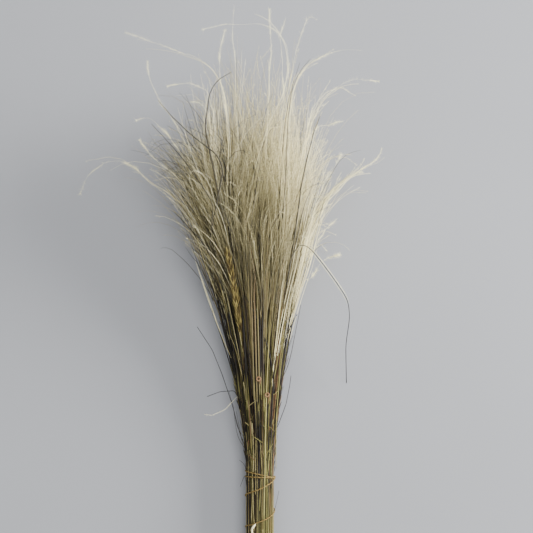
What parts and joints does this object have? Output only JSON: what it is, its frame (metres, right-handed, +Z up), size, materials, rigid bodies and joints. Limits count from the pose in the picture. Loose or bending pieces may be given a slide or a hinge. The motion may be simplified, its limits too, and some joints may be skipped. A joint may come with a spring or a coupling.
{
  "type": "dried grass bunch",
  "caption": "Bunch of dried feather grass tied with jute twine, lying down: slim straight stems that fan out into a wide, soft, feathery cream head.",
  "frame": {"origin": "middle of the flat under the lowest stem, at the cut ends, on the surface that the bunch lies on", "axes": "+Y along the stems toward the feathery heads, +Z up from the surface, +X to the right seen from above with the heads away from the viewer"},
  "size_m": [0.3751, 0.7031, 0.1503],
  "materials": {
    "dry_stem": "matt olive-brown straw",
    "feather_awn": "soft, matt, pale cream",
    "jute": "rough tan jute fibre"
  },
  "bodies": {
    "root": {"stem_sheaf_01": "dry_stem", "stem_sheaf_02": "dry_stem", "stem_sheaf_03": "dry_stem", "stem_sheaf_04": "dry_stem", "stem_sheaf_05": "dry_stem", "stem_sheaf_06": "dry_stem", "stem_sheaf_07": "dry_stem", "stem_sheaf_08": "dry_stem", "stem_sheaf_09": "dry_stem", "stem_sheaf_10": "dry_stem", "stem_sheaf_11": "dry_stem", "stem_sheaf_12": "dry_stem", "stem_sheaf_13": "dry_stem", "stem_sheaf_14": "dry_stem", "stem_sheaf_15": "dry_stem", "stem_sheaf_16": "dry_stem", "stem_sheaf_17": "dry_stem", "stem_sheaf_18": "dry_stem", "stem_sheaf_19": "dry_stem", "stem_sheaf_20": "dry_stem", "stem_sheaf_21": "dry_stem", "stem_sheaf_22": "dry_stem", "stem_sheaf_23": "dry_stem", "stem_sheaf_24": "dry_stem", "stem_sheaf_25": "dry_stem", "stem_sheaf_26": "dry_stem", "stem_sheaf_27": "dry_stem", "plume_01": "feather_awn", "plume_02": "feather_awn", "plume_03": "feather_awn", "plume_04": "feather_awn", "plume_05": "feather_awn", "plume_06": "feather_awn", "plume_07": "feather_awn", "plume_08": "feather_awn", "plume_09": "feather_awn", "plume_10": "feather_awn", "plume_11": "feather_awn", "plume_12": "feather_awn", "plume_13": "feather_awn", "plume_14": "feather_awn", "plume_15": "feather_awn", "plume_16": "feather_awn", "plume_17": "feather_awn", "plume_18": "feather_awn", "plume_19": "feather_awn", "plume_20": "feather_awn", "plume_21": "feather_awn", "plume_22": "feather_awn", "plume_23": "feather_awn", "plume_24": "feather_awn", "plume_25": "feather_awn", "plume_26": "feather_awn", "plume_27": "feather_awn", "twine": "jute"}
  },
  "joints": []
}
